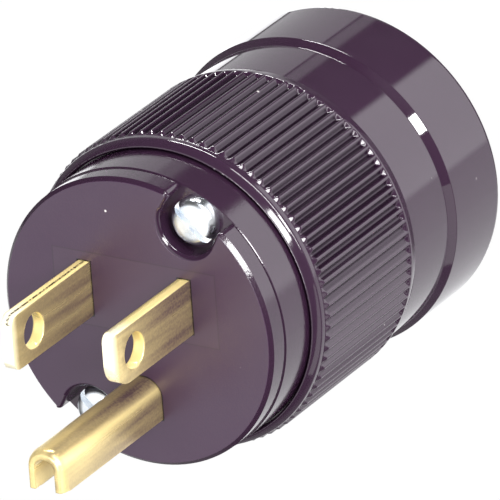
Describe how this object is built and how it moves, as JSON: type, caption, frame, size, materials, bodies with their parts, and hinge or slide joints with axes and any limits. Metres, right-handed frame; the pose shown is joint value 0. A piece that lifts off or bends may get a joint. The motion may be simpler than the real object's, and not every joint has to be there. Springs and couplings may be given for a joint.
{
  "type": "straight-blade grounding plug",
  "caption": "Round black rewirable mains plug with flat folded brass blades, a channel-shaped ground pin, a ribbed grip sleeve and a stepped rear shell with a cord hole",
  "frame": {"origin": "centre of the rear end face, on the surface the plug stands on", "axes": "+Z along the plug's axis towards the blade tips, +Y from the ground pin towards the blades, +X to the right when looking at the face with the ground pin below"},
  "size_m": [0.0374, 0.0374, 0.0678],
  "materials": {
    "face_plastic": "satin black moulding",
    "grip_plastic": "semi-gloss black moulding",
    "shell_plastic": "glossy black moulding",
    "carrier_plastic": "matt dark grey moulding",
    "blade_brass": "rolled brass strip with bright cut edges",
    "inner_brass": "plain turned brass",
    "nickel": "nickel-plated",
    "green_steel": "green dyed steel",
    "zinc": "bright zinc-plated steel"
  },
  "bodies": {
    "root": {"face_block": "face_plastic", "ribbed_body": "grip_plastic", "rear_housing": "shell_plastic", "terminal_block": "carrier_plastic", "line_blade": "blade_brass", "neutral_blade": "blade_brass", "ground_pin": "blade_brass", "line_clamp_plate": "inner_brass", "neutral_clamp_plate": "nickel", "ground_clamp_plate": "inner_brass", "line_terminal_screw": "inner_brass", "neutral_terminal_screw": "nickel", "ground_terminal_screw": "green_steel", "cord_clamp_bar": "carrier_plastic", "cord_clamp_screws": "zinc", "assembly_screws": "zinc", "thread_inserts": "inner_brass"}
  },
  "joints": []
}
